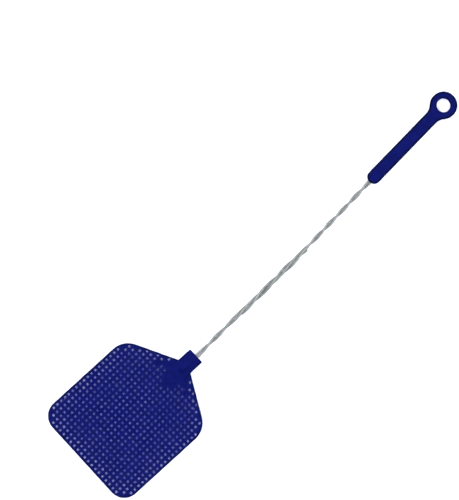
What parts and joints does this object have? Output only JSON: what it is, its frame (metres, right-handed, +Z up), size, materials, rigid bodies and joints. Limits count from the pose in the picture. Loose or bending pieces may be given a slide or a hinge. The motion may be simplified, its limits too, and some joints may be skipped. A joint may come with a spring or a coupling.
{
  "type": "fly swatter",
  "caption": "Hanging fly swatter: a thin square-meshed plastic paddle on a twisted wire stem, with a flat plastic grip that ends in a round hanging eye.",
  "frame": {"origin": "middle of the handle's hanging eye, halfway through its thickness", "axes": "+Z up along the grip to the eye, so the stem and paddle hang down -Z; -Y out of the paddle's front face; +X to the right as seen from the front"},
  "size_m": [0.1168, 0.007, 0.481],
  "materials": {
    "blue_plastic": "satin moulded low-density polyethylene, royal blue",
    "galvanised_wire": "drawn steel wire, dull zinc coating"
  },
  "bodies": {
    "root": {"handle": "blue_plastic", "wire_stem": "galvanised_wire", "paddle": "blue_plastic"}
  },
  "joints": []
}
